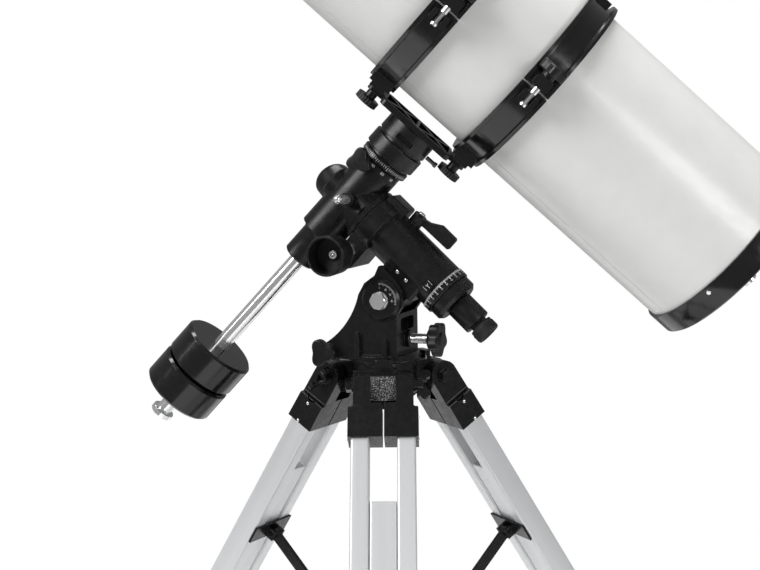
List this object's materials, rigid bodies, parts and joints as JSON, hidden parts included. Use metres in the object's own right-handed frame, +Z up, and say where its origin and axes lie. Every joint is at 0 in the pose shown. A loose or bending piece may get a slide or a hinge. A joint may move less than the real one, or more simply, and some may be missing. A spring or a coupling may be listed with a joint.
{
  "type": "newtonian reflector telescope",
  "caption": "Newtonian reflector telescope: white tube in split rings on a German equatorial mount with counterweights and a folding double-rail tripod.",
  "frame": {"origin": "on the floor, at the middle of the outline's rectangle seen from above", "axes": "+Z up; -X is north, towards which the polar axis rises; +Y is east"},
  "size_m": [1.0038, 0.8902, 1.5667],
  "materials": {
    "black_casting": "satin black paint with fine orange peel on castings",
    "bare_casting": "bare cast aluminium, rough",
    "chrome_steel": "polished chrome plate on steel",
    "black_plastic": "matte black moulded plastic",
    "circle_metal": "black ring with white engraved scale",
    "black_gloss": "gloss black paint",
    "rail_aluminium": "satin anodised aluminium",
    "white_enamel": "gloss white enamel",
    "mirror_glass": "aluminised glass"
  },
  "bodies": {
    "tripod": {"tripod_head": "black_casting", "head_fittings": "bare_casting", "leg_hinge_bolts": "chrome_steel"},
    "leg_north": {"leg_bracket_north": "black_casting", "leg_rails_north": "rail_aluminium"},
    "foot_north": {"leg_inner_north": "rail_aluminium"},
    "brace_north": {"brace_arm_north": "black_casting"},
    "leg_front": {"leg_bracket_front": "black_casting", "leg_rails_front": "rail_aluminium"},
    "foot_front": {"leg_inner_front": "rail_aluminium"},
    "brace_front": {"brace_arm_front": "black_casting"},
    "leg_rear": {"leg_bracket_rear": "black_casting", "leg_rails_rear": "rail_aluminium"},
    "foot_rear": {"leg_inner_rear": "rail_aluminium"},
    "brace_rear": {"brace_arm_rear": "black_casting"},
    "tray": {"accessory_tray": "black_plastic"},
    "azimuth": {"mount_base": "black_casting", "latitude_axle": "chrome_steel"},
    "azimuth_screw_near": {"azimuth_screw_near": "black_plastic"},
    "azimuth_screw_far": {"azimuth_screw_far": "black_plastic"},
    "latitude_screw": {"latitude_screw": "black_plastic"},
    "polar_housing": {"ra_housing": "black_casting", "polar_scope": "black_gloss"},
    "ra_circle": {"ra_circle": "circle_metal"},
    "polar_eyepiece": {"polar_eyepiece": "black_plastic"},
    "ra_slow_motion": {"ra_worm": "chrome_steel", "ra_knob": "black_plastic"},
    "ra_lever": {"ra_lever": "black_plastic"},
    "dec_housing": {"dec_housing": "black_casting", "ra_shaft": "chrome_steel", "counterweight_bar": "chrome_steel"},
    "dec_slow_motion": {"dec_worm": "chrome_steel", "dec_knob": "black_plastic"},
    "dec_clamp": {"dec_clamp_knob": "black_plastic"},
    "weight_inner": {"counterweight_inner": "black_gloss"},
    "weight_screw_inner": {"weight_screw_inner": "black_plastic"},
    "weight_outer": {"counterweight_outer": "black_gloss"},
    "weight_screw_outer": {"weight_screw_outer": "black_plastic"},
    "cradle": {"dec_shaft": "chrome_steel", "dec_head": "black_casting", "mounting_plate": "black_casting", "ring_fixing_knobs": "black_plastic", "tube_rings_lower": "black_gloss"},
    "ring_top_front": {"ring_top_front": "black_gloss"},
    "ring_knob_front": {"ring_knob_front": "black_plastic"},
    "ring_top_rear": {"ring_top_rear": "black_gloss"},
    "ring_knob_rear": {"ring_knob_rear": "black_plastic"},
    "tube": {"optical_tube": "white_enamel", "front_ring": "black_gloss", "mirror_cell": "black_gloss", "primary_mirror": "mirror_glass", "spider": "black_casting", "secondary_mirror": "mirror_glass", "focuser_body": "black_casting", "finder_bracket": "black_casting", "finder_scope": "black_gloss"},
    "focus_knobs": {"focus_knobs": "black_plastic"},
    "drawtube": {"drawtube": "chrome_steel", "eyepiece": "black_plastic"}
  },
  "joints": [
    {"name": "leg_fold_north", "type": "hinge", "parent": "tripod", "child": "leg_north", "pos_m": [-0.05455, 0.05376, 0.70113], "axis": [-0.1702, -0.9854, 0], "range_deg": [0, 28]},
    {"name": "leg_extend_north", "type": "slide", "parent": "leg_north", "child": "foot_north", "axis": [-0.528, 0.0912, -0.8443], "range_m": [0, 0.28]},
    {"name": "brace_fold_north", "type": "hinge", "parent": "leg_north", "child": "brace_north", "pos_m": [-0.16492, 0.07283, 0.47611], "axis": [-0.1702, -0.9854, 0], "range_deg": [-64.3, 0]},
    {"name": "leg_fold_front", "type": "hinge", "parent": "tripod", "child": "leg_front", "pos_m": [0.03194, -0.0183, 0.70113], "axis": [0.9385, 0.3453, 0], "range_deg": [0, 28.1]},
    {"name": "leg_extend_front", "type": "slide", "parent": "leg_front", "child": "foot_front", "axis": [0.185, -0.5029, -0.8443], "range_m": [0, 0.28]},
    {"name": "brace_fold_front", "type": "hinge", "parent": "leg_front", "child": "brace_front", "pos_m": [0.07062, -0.12342, 0.47611], "axis": [0.9385, 0.3453, 0], "range_deg": [-64.3, 0]},
    {"name": "leg_fold_rear", "type": "hinge", "parent": "tripod", "child": "leg_rear", "pos_m": [0.05111, 0.09264, 0.70113], "axis": [-0.7683, 0.6401, 0], "range_deg": [0, 28.1]},
    {"name": "leg_extend_rear", "type": "slide", "parent": "leg_rear", "child": "foot_rear", "axis": [0.343, 0.4117, -0.8443], "range_m": [0, 0.28]},
    {"name": "brace_fold_rear", "type": "hinge", "parent": "leg_rear", "child": "brace_rear", "pos_m": [0.1228, 0.17869, 0.47611], "axis": [-0.7683, 0.6401, 0], "range_deg": [-64.3, 0]},
    {"name": "tray_lift", "type": "slide", "parent": "tripod", "child": "tray", "axis": [0, 0, 1], "range_m": [-0.08335, 0]},
    {"name": "azimuth", "type": "hinge", "parent": "tripod", "child": "azimuth", "pos_m": [0.0095, 0.0427, 0.72313], "axis": [0, 0, 1], "range_deg": [-20, 1.5]},
    {"name": "azimuth_screw_near", "type": "slide", "parent": "azimuth", "child": "azimuth_screw_near", "axis": [0, 1, 0], "range_m": [-0.021, 0.0017]},
    {"name": "azimuth_screw_far", "type": "slide", "parent": "azimuth", "child": "azimuth_screw_far", "axis": [0, 1, 0], "range_m": [-0.021, 0.0017]},
    {"name": "latitude_screw", "type": "hinge", "parent": "azimuth", "child": "latitude_screw", "pos_m": [0.0695, 0.0427, 0.75013], "axis": [1, 0, 0], "continuous": true},
    {"name": "latitude", "type": "hinge", "parent": "azimuth", "child": "polar_housing", "pos_m": [0.0215, 0.0427, 0.80113], "axis": [0, 1, 0], "range_deg": [-18, 3]},
    {"name": "ra_circle", "type": "hinge", "parent": "polar_housing", "child": "ra_circle", "pos_m": [0.09078, 0.0427, 0.81118], "axis": [-0.729, 0, 0.6845], "continuous": true},
    {"name": "polar_eyepiece", "type": "hinge", "parent": "polar_housing", "child": "polar_eyepiece", "pos_m": [0.14108, 0.0427, 0.76394], "axis": [-0.729, 0, 0.6845], "continuous": true},
    {"name": "ra_slow_motion", "type": "hinge", "parent": "polar_housing", "child": "ra_slow_motion", "pos_m": [-0.02351, 0.0427, 0.85951], "axis": [0, 1, 0], "continuous": true},
    {"name": "ra_lever", "type": "hinge", "parent": "polar_housing", "child": "ra_lever", "pos_m": [0.05483, 0.0487, 0.89706], "axis": [0.6845, 0, 0.729], "range_deg": [-35, 35]},
    {"name": "polar_axis", "type": "hinge", "parent": "polar_housing", "child": "dec_housing", "pos_m": [-0.0295, 0.0427, 0.92413], "axis": [-0.729, 0, 0.6845], "range_deg": [-90, 84]},
    {"name": "dec_slow_motion", "type": "hinge", "parent": "dec_housing", "child": "dec_slow_motion", "pos_m": [-0.03074, 0.06902, 0.89798], "axis": [-0.6623, 0.5121, 0.5469], "continuous": true},
    {"name": "dec_clamp", "type": "hinge", "parent": "dec_housing", "child": "dec_clamp", "pos_m": [-0.00203, 0.04801, 0.96653], "axis": [0.0727, -0.9943, 0.0775], "range_deg": [-45, 45]},
    {"name": "weight_inner", "type": "slide", "parent": "dec_housing", "child": "weight_inner", "axis": [0.6807, 0.1063, 0.7248], "range_m": [-0.002, 0.14]},
    {"name": "weight_screw_inner", "type": "hinge", "parent": "weight_inner", "child": "weight_screw_inner", "pos_m": [-0.22402, 0.05256, 0.71699], "axis": [-0.0727, 0.9943, -0.0775], "continuous": true},
    {"name": "weight_outer", "type": "slide", "parent": "dec_housing", "child": "weight_outer", "axis": [0.6807, 0.1063, 0.7248], "range_m": [-0.027, 0.002]},
    {"name": "weight_screw_outer", "type": "hinge", "parent": "weight_outer", "child": "weight_screw_outer", "pos_m": [-0.25533, 0.04767, 0.68364], "axis": [-0.0727, 0.9943, -0.0775], "continuous": true},
    {"name": "declination_axis", "type": "hinge", "parent": "dec_housing", "child": "cradle", "pos_m": [-0.0295, 0.0427, 0.92413], "axis": [0.6807, 0.1063, 0.7248], "continuous": true},
    {"name": "ring_top_front", "type": "hinge", "parent": "cradle", "child": "ring_top_front", "pos_m": [0.06303, 0.17544, 1.17372], "axis": [-0.6739, -0.2973, 0.6764], "range_deg": [0, 75]},
    {"name": "ring_knob_front", "type": "hinge", "parent": "ring_top_front", "child": "ring_knob_front", "pos_m": [0.15969, -0.07777, 1.1587], "axis": [0.6807, 0.1063, 0.7248], "continuous": true},
    {"name": "ring_top_rear", "type": "hinge", "parent": "cradle", "child": "ring_top_rear", "pos_m": [0.15332, 0.21529, 1.08308], "axis": [-0.6739, -0.2973, 0.6764], "range_deg": [0, 75]},
    {"name": "ring_knob_rear", "type": "hinge", "parent": "ring_top_rear", "child": "ring_knob_rear", "pos_m": [0.24998, -0.03793, 1.06807], "axis": [0.6807, 0.1063, 0.7248], "continuous": true},
    {"name": "tube_turn", "type": "hinge", "parent": "cradle", "child": "tube", "pos_m": [0.14611, 0.07012, 1.11114], "axis": [0.6739, 0.2973, -0.6764], "continuous": true},
    {"name": "focus", "type": "hinge", "parent": "tube", "child": "focus_knobs", "pos_m": [-0.02805, -0.14336, 1.43368], "axis": [0.3367, 0.6913, 0.6393], "range_deg": [-78.39, 336.23]},
    {"name": "drawtube", "type": "slide", "parent": "tube", "child": "drawtube", "axis": [0.6577, -0.6585, 0.3657], "range_m": [-0.008, 0.035]}
  ],
  "couplings": [
    {"joint": "brace_fold_north", "follows": "leg_fold_north", "ratio": -2.2786},
    {"joint": "leg_fold_front", "follows": "leg_fold_north", "ratio": 1},
    {"joint": "brace_fold_front", "follows": "leg_fold_north", "ratio": -2.2786},
    {"joint": "leg_fold_rear", "follows": "leg_fold_north", "ratio": 1},
    {"joint": "brace_fold_rear", "follows": "leg_fold_north", "ratio": -2.2786},
    {"joint": "tray_lift", "follows": "leg_fold_north", "m_per_rad": -0.16954},
    {"joint": "azimuth_screw_near", "follows": "azimuth", "m_per_rad": 0.0597},
    {"joint": "azimuth_screw_far", "follows": "azimuth", "m_per_rad": 0.0597},
    {"joint": "focus", "follows": "drawtube", "rad_per_m": 166.67}
  ]
}
